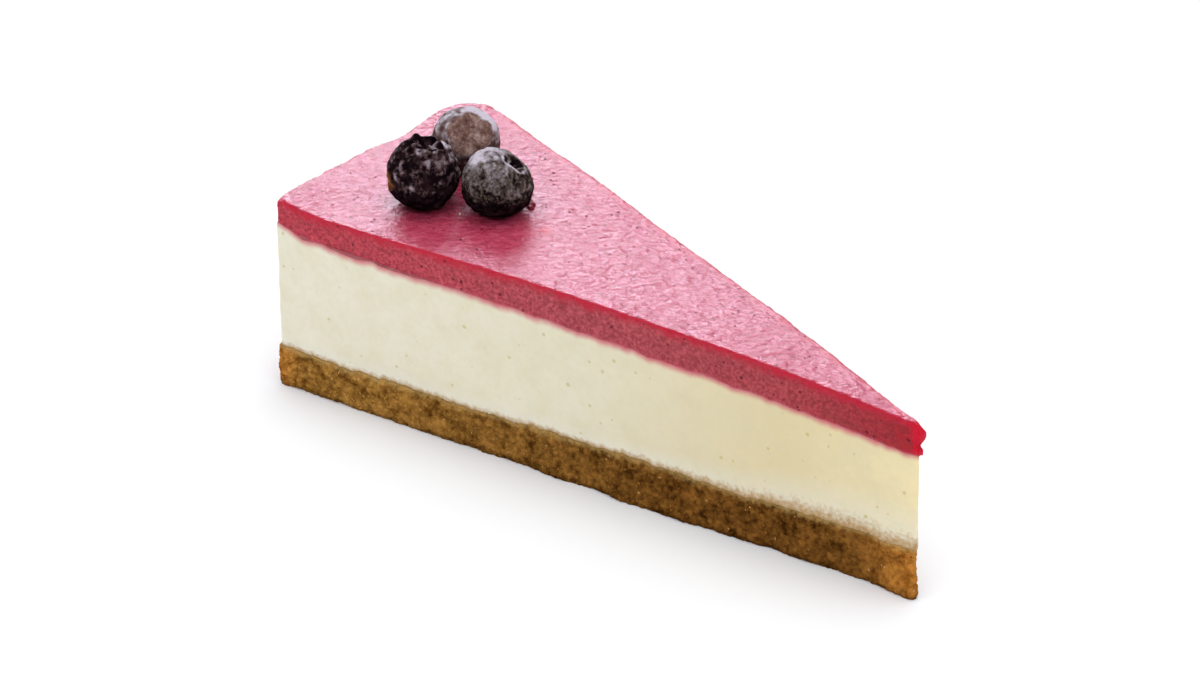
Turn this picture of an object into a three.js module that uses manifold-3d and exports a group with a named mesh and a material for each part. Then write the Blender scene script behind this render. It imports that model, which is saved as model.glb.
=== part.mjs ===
// A slice of forest fruit cheesecake: a biscuit crumb base, a deep layer of
// cheese filling, a fruit mousse on top and three frosted blueberries near the rim.
// Millimetres, +Z up. The origin is on the table under the middle of the slice,
// the tip points to +X, the rim faces -X and the two cuts face -Y and +Y.

import * as THREE from 'three';
import { ImprovedNoise } from 'three/addons/math/ImprovedNoise.js';
import { mergeVertices } from 'three/addons/utils/BufferGeometryUtils.js';
import Module from 'manifold-3d';

const wasm = await Module();
wasm.setup();

// The whole cake and the slice cut from it
const CAKE_RADIUS = 140;
const HALF_ANGLE = THREE.MathUtils.degToRad( 23 ) / 2;
const APEX_X = 71; // where the two cuts would meet

// Heights of the layer lines at even steps along a cut, from the rim to the tip
const BISCUIT_LINE = [ 8.7, 8.6, 9.0, 9.5, 9.8, 9.8, 10.6, 10.4 ];
const CREAM_LINE = [ 34.7, 33.9, 34.1, 33.8, 33.2, 32.6, 31.5, 30.5 ];
const NEAR_TOP_LINE = [ 40.2, 40.2, 40.65, 40.9, 40.5, 40.0, 38.8, 37.1 ];
const FAR_TOP_LINE = [ 40.9, 40.85, 41.05, 40.35, 39.95, 39.6, 38.55, 37.2 ];
const LAYER_GAP = 0.3;

// Layer lines wave a little: height of the waves and their pitch
const BISCUIT_WAVE = 0.22;
const CREAM_WAVE = 0.12;
const WAVE_PITCH = 11;

// Both rim corners of the top stand up, and between them the rim has a bulge and a dent
const TOP_LIFTS = [
	{ angle: - 10.5, spread: 4, height: 1.15, reach: 5.5 },
	{ angle: 8.4, spread: 2.8, height: 1.35, reach: 12 },
	{ angle: 2.6, spread: 1.6, height: - 0.4, reach: 6 }
];
const CREAM_LIFTS = [ { angle: - 11.5, spread: 3, height: 1.3, reach: 3 } ];
const RIM_BULGES = [
	{ angle: 8.4, spread: 2.8, depth: 0.4 },
	{ angle: 2.6, spread: 1.6, depth: - 0.6 }
];

// Outline of each layer: rim radius, how far its tip stops short of the apex, rounding of the near
// corner, and of the far one along its cut and along the rim
const CORNER_SOFTNESS = 1.2;
const BULGE_DEPTH = 2; // how far in from the rim its bulge and dent are felt
const BASE_PLAN = { rim: 141.5, tip: 1.3, nearCorner: 0.9, farAlongCut: 7, farAlongRim: 3.5, spacing: 1.5 };
const CREAM_PLAN = { rim: 140.9, tip: 1.1, nearCorner: 0.9, farAlongCut: 7, farAlongRim: 3.5, spacing: 3.2 };

// Biscuit crumb: coarse grains on the walls, a foot that spreads, with one heap of crumb at the near cut
const BASE_WALL_HEIGHT = 14;
const BASE_RINGS = 8;
const GRAIN_PITCH = 2.1;
const GRAIN_RELIEF = 0.55;
const LUMP_PITCH = 9;
const LUMP_RELIEF = 0.7;
const FOOT_HEIGHT = 1.4;
const FOOT_INSET = 0.35;
const FOOT_SPREAD = 0.1;
const HEAP_AT = 84;
const HEAP_LENGTH = 9;
const HEAP_DEPTH = 0.8;
const CRUMB_ROOF_RELIEF = 0.15;

// Cheese filling: almost plain walls
const CREAM_WALL_HEIGHT = 40;
const CREAM_RINGS = 5;
const CREAM_PITCH = 18;
const CREAM_RELIEF = 0.35;

// Fruit mousse: soft edges, broader along the far cut and the rim, and a lip that hangs over at the tip
const MOUSSE_RIM = 140.7;
const MOUSSE_TIP = 0.9;
const MOUSSE_TIP_WIDTH = 0.9;
const MOUSSE_TIP_FLARE = 4;
const MOUSSE_NARROW_PULL = 0.4; // most of the half width that the soft edge may take at the tip
const MOUSSE_CUT_ROUNDING = 0.5;
const MOUSSE_FAR_ROUNDING = 1.1;
const MOUSSE_RIM_ROUNDING = 1.2;
const MOUSSE_TIP_ROUNDING = 1.9;
const MOUSSE_TIP_BLEND = 3;
const MOUSSE_RIM_BLEND = 6;
const MOUSSE_STEPS = 44;
const MOUSSE_CROWDING = 1.25; // steps stand closer together towards the rim
const MOUSSE_SWEEP = [ - 1, - 0.96, - 0.86, - 0.6, - 0.3, 0, 0.3, 0.55, 0.72, 0.84, 0.93, 1 ];
const MOUSSE_RINGS = [ 0, 0.5, 1, 1, 1 ]; // share of the straight wall below each ring
const MOUSSE_TURNS = [ 0, 0, 0, 45, 90 ]; // degrees round the soft top edge at each ring
const NEAR_CORNER = { from: 0.84, cut: 0.75 };
const FAR_CORNER = { from: 0.64, cut: 3.4 };
const CORNER_REACH = 6;
const FAR_TAPER = 0.9; // how far the far cut draws in at the rim
const FAR_TAPER_LENGTH = 11;

// Slabs that trim the layers to their lines
const SLAB_LENGTH = 146;
const SLAB_WIDTH = 64;
const SLAB_STEPS = 44;
const SLAB_STRIPS = 6;
const SLAB_CROWDING = 1.2;
const SLAB_BELOW = - 5;

// Blueberries: where they sit, how large they are and which way the crown looks
const BERRIES = [
	{
		name: 'blueberry_left',
		at: [ - 46.35, - 8.75, 46.9 ],
		width: 13.6,
		tall: 14.1,
		crown: { towards: [ 0.12, 0.12, 0.98 ], width: 6.0, depth: 0.7, flattening: 0 }
	},
	{
		name: 'blueberry_right',
		at: [ - 33.94, - 1.24, 46.9 ],
		width: 13.6,
		tall: 13.3,
		crown: { towards: [ 0.42, 0.46, 0.78 ], width: 6.5, depth: 1.1, flattening: 2 }
	},
	{
		name: 'blueberry_back',
		at: [ - 50.41, 6.79, 46.4 ],
		width: 13.2,
		tall: 12.6,
		crown: { towards: [ 0.63, - 0.44, 0.64 ], width: 8.6, depth: 0.8, flattening: 0 }
	}
];
const BERRY_COLUMNS = 30;
const BERRY_ROWS = 20;
const BERRY_CROWDING = 1.3;
const CROWN_LOBES = 5;
const CROWN_LOBE_SWING = 0.1;
const CROWN_FLOOR = 0.35; // share of the crown that is its flat bottom
const CROWN_LIP = 0.28;
const CROWN_LIP_WIDTH = 0.16;
const FLATTENING_SPREAD = 0.65; // radians round the crown that a squashed end takes in
const BERRY_WRINKLE = 0.16;
const BERRY_WRINKLE_PITCH = 3.4;

const WELD_DISTANCE = 1e-4;

const noise = new ImprovedNoise();

// Soft bump that is 1 in the middle and fades out over the spread
function bump( value, middle, spread ) {

	return Math.exp( - ( ( ( value - middle ) / spread ) ** 2 ) );

}

// Distance from the rim towards the tip, and the angle round the apex in degrees
function sliceCoordinates( x, y ) {

	const inward = CAKE_RADIUS - Math.hypot( APEX_X - x, y );
	const angle = THREE.MathUtils.radToDeg( Math.atan2( y, APEX_X - x ) );
	return { inward, angle };

}

// A smooth line through heights that stand at even steps from rim to tip
function lineCurve( heights ) {

	const points = heights.map( ( height, step ) => new THREE.Vector2( step, height ) );
	return new THREE.SplineCurve( points );

}

const biscuitCurve = lineCurve( BISCUIT_LINE );
const creamCurve = lineCurve( CREAM_LINE );
const nearTopCurve = lineCurve( NEAR_TOP_LINE );
const farTopCurve = lineCurve( FAR_TOP_LINE );

function heightOn( curve, inward ) {

	return curve.getPoint( THREE.MathUtils.clamp( inward / CAKE_RADIUS, 0, 1 ) ).y;

}

function liftsAt( lifts, { inward, angle } ) {

	let height = 0;
	for ( const lift of lifts ) {

		height += lift.height * bump( angle, lift.angle, lift.spread ) * bump( Math.max( inward, 0 ), 0, lift.reach );

	}

	return height;

}

// Three crossing trains of waves
function wave( x, y ) {

	const turn = 2 * Math.PI / WAVE_PITCH;
	const first = Math.sin( turn * ( x + 0.6 * y ) );
	const second = Math.sin( turn * ( 0.61 * x - 1.1 * y ) + 1.3 );
	const third = Math.sin( turn * ( 1.73 * x + 0.4 * y ) + 4.1 );
	return ( first + second + third ) / 3;

}

function biscuitHeight( x, y ) {

	return heightOn( biscuitCurve, sliceCoordinates( x, y ).inward ) + BISCUIT_WAVE * wave( x, y );

}

function creamHeight( x, y ) {

	const place = sliceCoordinates( x, y );
	return heightOn( creamCurve, place.inward ) + liftsAt( CREAM_LIFTS, place ) + CREAM_WAVE * wave( y, x );

}

function topHeight( x, y ) {

	const place = sliceCoordinates( x, y );
	const side = place.angle / THREE.MathUtils.radToDeg( HALF_ANGLE );
	const near = heightOn( nearTopCurve, place.inward );
	const far = heightOn( farTopCurve, place.inward );
	return THREE.MathUtils.lerp( near, far, ( side + 1 ) / 2 ) + liftsAt( TOP_LIFTS, place );

}

// How far the rim stands out from a true circle at an angle round the apex
function rimBulge( angle ) {

	return RIM_BULGES.reduce( ( sum, part ) => sum + part.depth * bump( angle, part.angle, part.spread ), 0 );

}

function polarPoint( radius, angle ) {

	return new THREE.Vector2( APEX_X - radius * Math.cos( angle ), radius * Math.sin( angle ) );

}

// A geometry with one vertex at each place, so that its surface is closed
function weld( geometry ) {

	const plain = new THREE.BufferGeometry();
	plain.setAttribute( 'position', geometry.getAttribute( 'position' ) );
	plain.setIndex( geometry.getIndex() );
	return mergeVertices( plain, WELD_DISTANCE );

}

// A closed geometry as a solid that can be joined and cut
function toSolid( geometry ) {

	return new wasm.Manifold( new wasm.Mesh( {
		numProp: 3,
		vertProperties: new Float32Array( geometry.getAttribute( 'position' ).array ),
		triVerts: new Uint32Array( geometry.getIndex().array )
	} ) );

}

function toGeometry( solid ) {

	const mesh = solid.getMesh();
	const geometry = new THREE.BufferGeometry();
	geometry.setAttribute( 'position', new THREE.BufferAttribute( mesh.vertProperties, 3 ) );
	geometry.setIndex( new THREE.BufferAttribute( mesh.triVerts, 1 ) );
	geometry.computeVertexNormals();
	return geometry;

}

// Moves every vertex of a geometry to the place that the function gives for it
function reshape( geometry, place ) {

	const position = geometry.getAttribute( 'position' );
	const vertex = new THREE.Vector3();
	for ( let i = 0; i < position.count; i ++ ) {

		vertex.fromBufferAttribute( position, i );
		place( vertex );
		position.setXYZ( i, vertex.x, vertex.y, vertex.z );

	}

	return geometry;

}

// Outline of a layer seen from above, counter-clockwise, as evenly spaced points
function layerOutline( { rim, tip, nearCorner, farAlongCut, farAlongRim, spacing } ) {

	const nearTurn = nearCorner / rim;
	const farTurn = farAlongRim / rim;
	const nearRim = polarPoint( rim, - HALF_ANGLE );
	const farRim = polarPoint( rim, HALF_ANGLE );
	const nearStart = polarPoint( rim - nearCorner, - HALF_ANGLE );
	const farEnd = polarPoint( rim - farAlongCut, HALF_ANGLE );
	const arcStart = polarPoint( rim, HALF_ANGLE - farTurn );
	const tipNear = polarPoint( tip, - HALF_ANGLE );
	const tipFar = polarPoint( tip, HALF_ANGLE );

	const path = new THREE.Path();
	path.moveTo( nearStart.x, nearStart.y );
	path.lineTo( tipNear.x, tipNear.y );
	path.lineTo( tipFar.x, tipFar.y );
	path.lineTo( farEnd.x, farEnd.y );
	path.quadraticCurveTo( farRim.x, farRim.y, arcStart.x, arcStart.y );
	path.absarc( APEX_X, 0, rim, Math.PI - HALF_ANGLE + farTurn, Math.PI + HALF_ANGLE - nearTurn, false );
	path.quadraticCurveTo( nearRim.x, nearRim.y, nearStart.x, nearStart.y );

	const points = [];
	for ( const curve of path.curves ) {

		const steps = Math.max( 1, Math.round( curve.getLength() / spacing ) );
		points.push( ...curve.getSpacedPoints( steps ).slice( 0, - 1 ) );

	}

	return points;

}

// Outward direction of the wall nearest to a point, blended softly round the corners
function outwardDirection( x, y ) {

	const { inward } = sliceCoordinates( x, y );
	const nearNormal = new THREE.Vector2( Math.sin( HALF_ANGLE ), - Math.cos( HALF_ANGLE ) );
	const farNormal = new THREE.Vector2( Math.sin( HALF_ANGLE ), Math.cos( HALF_ANGLE ) );
	const rimNormal = new THREE.Vector2( x - APEX_X, y ).normalize();
	const fromApex = new THREE.Vector2( x - APEX_X, y );
	const direction = new THREE.Vector2();
	direction.addScaledVector( nearNormal, Math.exp( fromApex.dot( nearNormal ) / CORNER_SOFTNESS ) );
	direction.addScaledVector( farNormal, Math.exp( fromApex.dot( farNormal ) / CORNER_SOFTNESS ) );
	direction.addScaledVector( rimNormal, Math.exp( - inward / CORNER_SOFTNESS ) );
	return direction.normalize();

}

// Upright walls of a layer in rings, each vertex pushed outward by a relief function
function layerWalls( plan, wallHeight, rings, relief ) {

	const geometry = new THREE.ExtrudeGeometry( new THREE.Shape( layerOutline( plan ) ), {
		depth: wallHeight,
		steps: rings,
		bevelEnabled: false
	} );
	return reshape( weld( geometry ), ( vertex ) => {

		const direction = outwardDirection( vertex.x, vertex.y );
		const { inward, angle } = sliceCoordinates( vertex.x, vertex.y );
		const rimShare = Math.exp( - Math.abs( inward ) / BULGE_DEPTH );
		const push = relief( vertex ) + rimShare * rimBulge( angle );
		vertex.x += direction.x * push;
		vertex.y += direction.y * push;

	} );

}

// A slab wider than the slice whose floor and roof follow two height functions
function slab( floor, roof ) {

	const geometry = new THREE.BoxGeometry( 1, SLAB_WIDTH, 1, SLAB_STEPS, SLAB_STRIPS, 1 );
	return reshape( weld( geometry ), ( vertex ) => {

		const along = ( vertex.x + 0.5 ) ** SLAB_CROWDING;
		vertex.x = SLAB_LENGTH * ( along - 0.5 );
		vertex.z = vertex.z > 0 ? roof( vertex.x, vertex.y ) : floor( vertex.x, vertex.y );

	} );

}

function grain( x, y, z, pitch ) {

	return noise.noise( x / pitch, y / pitch, z / pitch );

}

// Biscuit crumb base
function buildBase() {

	const walls = layerWalls( BASE_PLAN, BASE_WALL_HEIGHT, BASE_RINGS, ( { x, y, z } ) => {

		const { inward } = sliceCoordinates( x, y );
		const low = 1 - THREE.MathUtils.smoothstep( z, 0, BISCUIT_LINE[ 0 ] );
		const crumbs = GRAIN_RELIEF * grain( x, y, z, GRAIN_PITCH );
		const lumps = LUMP_RELIEF * grain( x, y, z / 2, LUMP_PITCH );
		const heap = y < 0 ? HEAP_DEPTH * bump( inward, HEAP_AT, HEAP_LENGTH ) : 0;
		const foot = ( FOOT_SPREAD + heap ) * low - FOOT_INSET * Math.max( 0, 1 - z / FOOT_HEIGHT ) ** 2;
		return crumbs + lumps + foot;

	} );
	const trim = slab( () => SLAB_BELOW, ( x, y ) => {

		const pits = CRUMB_ROOF_RELIEF * Math.abs( grain( x, y, BASE_WALL_HEIGHT, GRAIN_PITCH ) );
		return biscuitHeight( x, y ) - LAYER_GAP / 2 - pits;

	} );
	return toSolid( walls ).intersect( toSolid( trim ) );

}

// Cheese filling
function buildFilling() {

	const walls = layerWalls( CREAM_PLAN, CREAM_WALL_HEIGHT, CREAM_RINGS, ( { x, y, z } ) => {

		return CREAM_RELIEF * grain( x, y, z, CREAM_PITCH );

	} );
	const trim = slab(
		( x, y ) => biscuitHeight( x, y ) + LAYER_GAP / 2,
		( x, y ) => creamHeight( x, y ) - LAYER_GAP / 2
	);
	return toSolid( walls ).intersect( toSolid( trim ) );

}

// Fruit mousse: a block bent into the wedge, with the top edge rolled over in two steps
function buildMousse() {

	const strips = MOUSSE_SWEEP.length - 1;
	const rings = MOUSSE_RINGS.length - 1;
	const block = weld( new THREE.BoxGeometry( 1, 1, 1, MOUSSE_STEPS, strips, rings ) );
	reshape( block, ( vertex ) => {

		const along = ( vertex.x + 0.5 ) ** MOUSSE_CROWDING;
		const side = MOUSSE_SWEEP[ Math.round( ( vertex.y + 0.5 ) * strips ) ];
		const ring = Math.round( ( vertex.z + 0.5 ) * rings );

		// How far the soft edge pulls this vertex in from the walls and down from the top
		const angleDegrees = side * THREE.MathUtils.radToDeg( HALF_ANGLE );
		const rim = MOUSSE_RIM + rimBulge( angleDegrees );
		const radius = THREE.MathUtils.lerp( rim, MOUSSE_TIP, along );
		const rimShare = 1 - THREE.MathUtils.smoothstep( rim - radius, 0, MOUSSE_RIM_BLEND );
		const tipShare = 1 - THREE.MathUtils.smoothstep( radius - MOUSSE_TIP, 0, MOUSSE_TIP_BLEND );
		const cut = THREE.MathUtils.lerp( MOUSSE_CUT_ROUNDING, MOUSSE_FAR_ROUNDING, Math.max( 0, side ) );
		const cutOrRim = THREE.MathUtils.lerp( cut, MOUSSE_RIM_ROUNDING, rimShare );
		const rounding = THREE.MathUtils.lerp( cutOrRim, MOUSSE_TIP_ROUNDING, tipShare );
		const turn = THREE.MathUtils.degToRad( MOUSSE_TURNS[ ring ] );
		const pull = rounding * ( 1 - Math.cos( turn ) );
		const drop = rounding * ( 1 - Math.sin( turn ) );

		// Place seen from above, with both rim corners rounded off
		const taperShare = 1 - THREE.MathUtils.smoothstep( rim - radius, 0, FAR_TAPER_LENGTH );
		const taper = side > 0 ? FAR_TAPER * taperShare : 0;
		const blunt = MOUSSE_TIP_WIDTH / 2 * Math.exp( - radius / MOUSSE_TIP_FLARE );
		const halfWidth = radius * Math.sin( HALF_ANGLE ) + blunt - taper;
		const across = side * ( halfWidth - Math.min( pull, halfWidth * MOUSSE_NARROW_PULL ) );
		const corner = side > 0 ? FAR_CORNER : NEAR_CORNER;
		const past = Math.max( 0, ( Math.abs( side ) - corner.from ) / ( 1 - corner.from ) );
		const cornerCut = corner.cut * ( 1 - Math.sqrt( 1 - past * past ) );
		const cornerShare = 1 - THREE.MathUtils.smoothstep( rim - radius, 0, CORNER_REACH );
		const tipPull = pull * tipShare;
		const reach = radius - pull * rimShare - cornerCut * cornerShare + tipPull;
		const turnedBy = Math.asin( THREE.MathUtils.clamp( across / radius, - 1, 1 ) );
		vertex.x = APEX_X - reach * Math.cos( turnedBy );
		vertex.y = across;

		// Height between the filling and the top
		const floor = creamHeight( vertex.x, vertex.y ) + LAYER_GAP / 2;
		const roof = topHeight( vertex.x, vertex.y );
		const straight = roof - rounding;
		vertex.z = ring > 1 ? roof - drop : THREE.MathUtils.lerp( floor, straight, MOUSSE_RINGS[ ring ] );

	} );

	let mousse = toSolid( block );
	for ( const berry of BERRIES ) {

		const cup = new THREE.SphereGeometry( 1, BERRY_COLUMNS, BERRY_ROWS );
		cup.scale( berry.width / 2 + LAYER_GAP, berry.width / 2 + LAYER_GAP, berry.tall / 2 + LAYER_GAP );
		cup.translate( ...berry.at );
		mousse = mousse.subtract( toSolid( weld( cup ) ) );

	}

	return mousse;

}

// A blueberry: a slightly squat ball with a five-lobed crown at one pole
function buildBerry( { at, width, tall, crown } ) {

	const radius = width / 2;
	const crownTurn = Math.asin( crown.width / width );
	const toCrown = new THREE.Quaternion().setFromUnitVectors(
		new THREE.Vector3( 0, 1, 0 ),
		new THREE.Vector3( ...crown.towards ).normalize()
	);
	const ball = weld( new THREE.SphereGeometry( 1, BERRY_COLUMNS, BERRY_ROWS ) );
	reshape( ball, ( vertex ) => {

		// Rows crowd towards the crown
		const share = Math.acos( THREE.MathUtils.clamp( vertex.y, - 1, 1 ) ) / Math.PI;
		const polar = Math.PI * share ** BERRY_CROWDING;
		const turn = Math.atan2( vertex.x, vertex.z );
		vertex.setFromSphericalCoords( 1, polar, turn );

		// Crown hollow with a raised, lobed lip
		const lip = crownTurn * ( 1 + CROWN_LOBE_SWING * Math.cos( CROWN_LOBES * turn ) );
		const hollow = crown.depth * ( 1 - THREE.MathUtils.smoothstep( polar, lip * CROWN_FLOOR, lip ) );
		const raised = CROWN_LIP * bump( polar, lip, CROWN_LIP_WIDTH );
		const flat = crown.flattening * bump( polar, 0, FLATTENING_SPREAD );

		vertex.applyQuaternion( toCrown );
		const wrinkle = BERRY_WRINKLE * noise.noise(
			( at[ 0 ] + vertex.x * radius ) / BERRY_WRINKLE_PITCH,
			( at[ 1 ] + vertex.y * radius ) / BERRY_WRINKLE_PITCH,
			( at[ 2 ] + vertex.z * radius ) / BERRY_WRINKLE_PITCH
		);
		vertex.multiplyScalar( radius - hollow + raised + wrinkle - flat );
		vertex.z *= tall / width;
		vertex.x += at[ 0 ];
		vertex.y += at[ 1 ];
		vertex.z += at[ 2 ];

	} );
	return toSolid( ball );

}

function addPiece( group, name, solid, colour, roughness ) {

	const material = new THREE.MeshStandardMaterial( { color: colour, roughness, metalness: 0 } );
	const mesh = new THREE.Mesh( toGeometry( solid ), material );
	mesh.name = name;
	group.add( mesh );

}

const slice = new THREE.Group();
slice.name = 'cheesecake_slice';
addPiece( slice, 'biscuit_base', buildBase(), 0xa57c46, 0.9 );
addPiece( slice, 'cheese_filling', buildFilling(), 0xe9dfc6, 0.55 );
addPiece( slice, 'fruit_mousse', buildMousse(), 0xc2486a, 0.5 );

for ( const berry of BERRIES ) {

	addPiece( slice, berry.name, buildBerry( berry ), 0x3d3238, 0.6 );

}

export default slice;
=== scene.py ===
# A slice of forest fruit cheesecake as it looks when freshly cut: crumbly biscuit base, pale cheese
# filling, bumpy pink fruit mousse and three frosted blueberries near the rim. Blender's metres, in
# the part's own frame; the shapes are worked out in millimetres and brought to metres at the end.

import math
import random

import bmesh
import bpy
from mathutils import Matrix, Vector, noise


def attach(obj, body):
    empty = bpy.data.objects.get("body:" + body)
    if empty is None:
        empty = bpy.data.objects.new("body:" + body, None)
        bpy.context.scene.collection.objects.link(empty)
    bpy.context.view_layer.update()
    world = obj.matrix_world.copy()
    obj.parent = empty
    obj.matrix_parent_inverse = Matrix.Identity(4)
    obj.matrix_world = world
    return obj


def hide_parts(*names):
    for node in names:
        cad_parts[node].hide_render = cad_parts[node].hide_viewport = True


MM = 0.001
SEED = 23

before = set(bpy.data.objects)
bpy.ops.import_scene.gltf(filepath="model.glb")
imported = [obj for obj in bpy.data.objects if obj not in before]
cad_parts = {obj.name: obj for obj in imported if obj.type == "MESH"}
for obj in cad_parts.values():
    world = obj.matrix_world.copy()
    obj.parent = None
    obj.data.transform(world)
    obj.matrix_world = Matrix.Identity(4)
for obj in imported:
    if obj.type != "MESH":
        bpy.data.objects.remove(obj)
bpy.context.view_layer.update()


# Camera: its place and the point that it looks at in metres, its lens and sensor in millimetres

CAMERA_PLACE = (0.5469, -0.58266, 0.50624)
LOOKED_AT = (-0.01208, 0.0037, 0.01947)
LENS = 150
SENSOR = 36


def add_camera():
    """A long lens, 31 degrees above the table and 44 degrees round from -Y towards the tip."""
    data = bpy.data.cameras.new("photo_camera")
    data.lens = LENS
    data.sensor_width = SENSOR
    camera = bpy.data.objects.new("photo_camera", data)
    camera.location = CAMERA_PLACE
    look = Vector(LOOKED_AT) - Vector(CAMERA_PLACE)
    camera.rotation_euler = look.to_track_quat("-Z", "Y").to_euler()
    bpy.context.scene.collection.objects.link(camera)
    bpy.context.scene.camera = camera


add_camera()


# The whole cake and the slice cut from it, in millimetres

CAKE_RADIUS = 140
HALF_ANGLE = math.radians(23) / 2
APEX_X = 71

# Heights of the layer lines at even steps along a cut, from the rim to the tip
BISCUIT_LINE = [8.7, 8.6, 9.0, 9.5, 9.8, 9.8, 10.6, 10.4]
CREAM_LINE = [34.7, 33.9, 34.1, 33.8, 33.2, 32.6, 31.5, 30.5]
NEAR_TOP_LINE = [40.2, 40.2, 40.65, 40.9, 40.5, 40.0, 38.8, 37.1]
FAR_TOP_LINE = [40.9, 40.85, 41.05, 40.35, 39.95, 39.6, 38.55, 37.2]

# Waves of the lines: heights, pitch, and trains of (share along X, share along Y, start)
BISCUIT_WAVE = 0.22
CREAM_WAVE = 0.12
WAVE_PITCH = 11
WAVE_TRAINS = [(1, 0.6, 0), (0.61, -1.1, 1.3), (1.73, 0.4, 4.1)]

# Raggedness of the lines: (height, level at which the noise is read, pitch)
BISCUIT_RAGS = [(0.4, 3, 2.6), (0.3, 8, 1.1)]
CREAM_RAGS = [(0.55, 5, 4.2), (0.2, 7, 1.7)]

# Lifts are (angle round the apex, spread, height, reach in from the rim)
TOP_LIFTS = [(-10.5, 4, 1.15, 5.5), (8.4, 2.8, 1.35, 12), (2.6, 1.6, -0.4, 6)]
CREAM_LIFTS = [(-11.5, 3, 1.3, 3)]

# Bulges of the rim are (angle round the apex, spread, depth), and fade out over the reach
RIM_BULGES = [(8.4, 2.8, 0.4), (2.6, 1.6, -0.6)]
BULGE_REACH = 2
CORNER_SOFTNESS = 1.2

# The last stretch before the tip, from and to in X, over which the walls change
TIP_STRETCH = (60, 69)

# Berries: middle, width, height, which way the crown looks, crown width and depth
BERRIES = {
    "blueberry_left": ((-46.35, -8.75, 46.9), 13.6, 14.1, (0.12, 0.12, 0.98), 6.0, 0.7),
    "blueberry_right": ((-33.94, -1.24, 46.9), 13.6, 13.3, (0.42, 0.46, 0.78), 6.5, 1.1),
    "blueberry_back": ((-50.41, 6.79, 46.4), 13.2, 12.6, (0.63, -0.44, 0.64), 8.6, 0.8),
}


def lerp(first, second, share):
    return first + (second - first) * share


def clamp(value, low=0.0, high=1.0):
    return min(max(value, low), high)


def smoothstep(value, low, high):
    share = clamp((value - low) / (high - low))
    return share * share * (3 - 2 * share)


def bump(value, middle, spread):
    """Soft bump that is 1 in the middle and fades out over the spread."""
    return math.exp(-(((value - middle) / spread) ** 2))


def slice_place(x, y):
    """Distance in from the rim, and the angle round the apex in degrees."""
    inward = CAKE_RADIUS - math.hypot(APEX_X - x, y)
    angle = math.degrees(math.atan2(y, APEX_X - x))
    return inward, angle


def near_rim(inward):
    """1 at the rim, fading out to either side of it."""
    return math.exp(-abs(inward) / BULGE_REACH)


def near_tip(x):
    """0 along the slice, rising to 1 at the tip."""
    return smoothstep(x, *TIP_STRETCH)


def height_on(line, inward):
    """Height of a layer line, as a smooth curve through its even steps."""
    last = len(line) - 1
    place = clamp(inward / CAKE_RADIUS) * last
    step = min(int(place), last - 1)
    share = place - step
    start, end = line[step], line[step + 1]
    slope_in = (end - line[max(step - 1, 0)]) / 2
    slope_out = (line[min(step + 2, last)] - start) / 2
    cubic = 2 * start - 2 * end + slope_in + slope_out
    square = -3 * start + 3 * end - 2 * slope_in - slope_out
    return ((cubic * share + square) * share + slope_in) * share + start


def lifts_at(lifts, inward, angle):
    return sum(
        height * bump(angle, middle, spread) * bump(max(inward, 0), 0, reach)
        for middle, spread, height, reach in lifts
    )


def wave(x, y):
    """Crossing trains of waves, between -1 and 1."""
    turn = 2 * math.pi / WAVE_PITCH
    heights = [math.sin(turn * (along * x + across * y) + start) for along, across, start in WAVE_TRAINS]
    return sum(heights) / len(heights)


def grain(x, y, z, pitch):
    """Smooth random relief between -1 and 1 with bumps about as wide as the pitch."""
    return noise.noise(Vector((x, y, z)) / pitch)


def relief(marks, x, y, z):
    """Several grains together, each of the marks a depth and a pitch."""
    return sum(depth * grain(x, y, z, pitch) for depth, pitch in marks)


def raggedness(rags, x, y):
    return sum(height * grain(x, y, level, pitch) for height, level, pitch in rags)


def biscuit_height(x, y):
    """Uneven line where the filling sank into the crumb."""
    line = height_on(BISCUIT_LINE, slice_place(x, y)[0])
    return line + BISCUIT_WAVE * wave(x, y) + raggedness(BISCUIT_RAGS, x, y)


def cream_height(x, y):
    """Line between the filling and the mousse."""
    inward, angle = slice_place(x, y)
    line = height_on(CREAM_LINE, inward) + lifts_at(CREAM_LIFTS, inward, angle)
    return line + CREAM_WAVE * wave(y, x) + raggedness(CREAM_RAGS, x, y)


def top_height(x, y):
    inward, angle = slice_place(x, y)
    near = height_on(NEAR_TOP_LINE, inward)
    far = height_on(FAR_TOP_LINE, inward)
    across = (angle / math.degrees(HALF_ANGLE) + 1) / 2
    return lerp(near, far, across) + lifts_at(TOP_LIFTS, inward, angle)


def rim_bulge(angle):
    """How far the rim stands out from a true circle."""
    return sum(depth * bump(angle, middle, spread) for middle, spread, depth in RIM_BULGES)


def polar_point(radius, angle):
    return Vector((APEX_X - radius * math.cos(angle), radius * math.sin(angle)))


NEAR_NORMAL = Vector((math.sin(HALF_ANGLE), -math.cos(HALF_ANGLE)))
FAR_NORMAL = Vector((math.sin(HALF_ANGLE), math.cos(HALF_ANGLE)))


def outward_direction(x, y):
    """Outward direction of the nearest wall, blended softly round the corners."""
    from_apex = Vector((x - APEX_X, y))
    inward = CAKE_RADIUS - from_apex.length
    direction = NEAR_NORMAL * math.exp(from_apex.dot(NEAR_NORMAL) / CORNER_SOFTNESS)
    direction += FAR_NORMAL * math.exp(from_apex.dot(FAR_NORMAL) / CORNER_SOFTNESS)
    direction += from_apex.normalized() * math.exp(-inward / CORNER_SOFTNESS)
    return direction.normalized()


def pushed_out(x, y, z, push):
    """The point, moved out from the wall that it lies on."""
    outward = outward_direction(x, y)
    return Vector((x + outward.x * push, y + outward.y * push, z))


def straight(start, end):
    return (end - start).length, lambda share: start.lerp(end, share)


def curved(start, corner, end):
    """A side that leaves its start and reaches its end along the lines to the corner."""
    length = ((corner - start).length + (end - corner).length + (end - start).length) / 2
    return length, lambda share: start.lerp(corner, share).lerp(corner.lerp(end, share), share)


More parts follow.
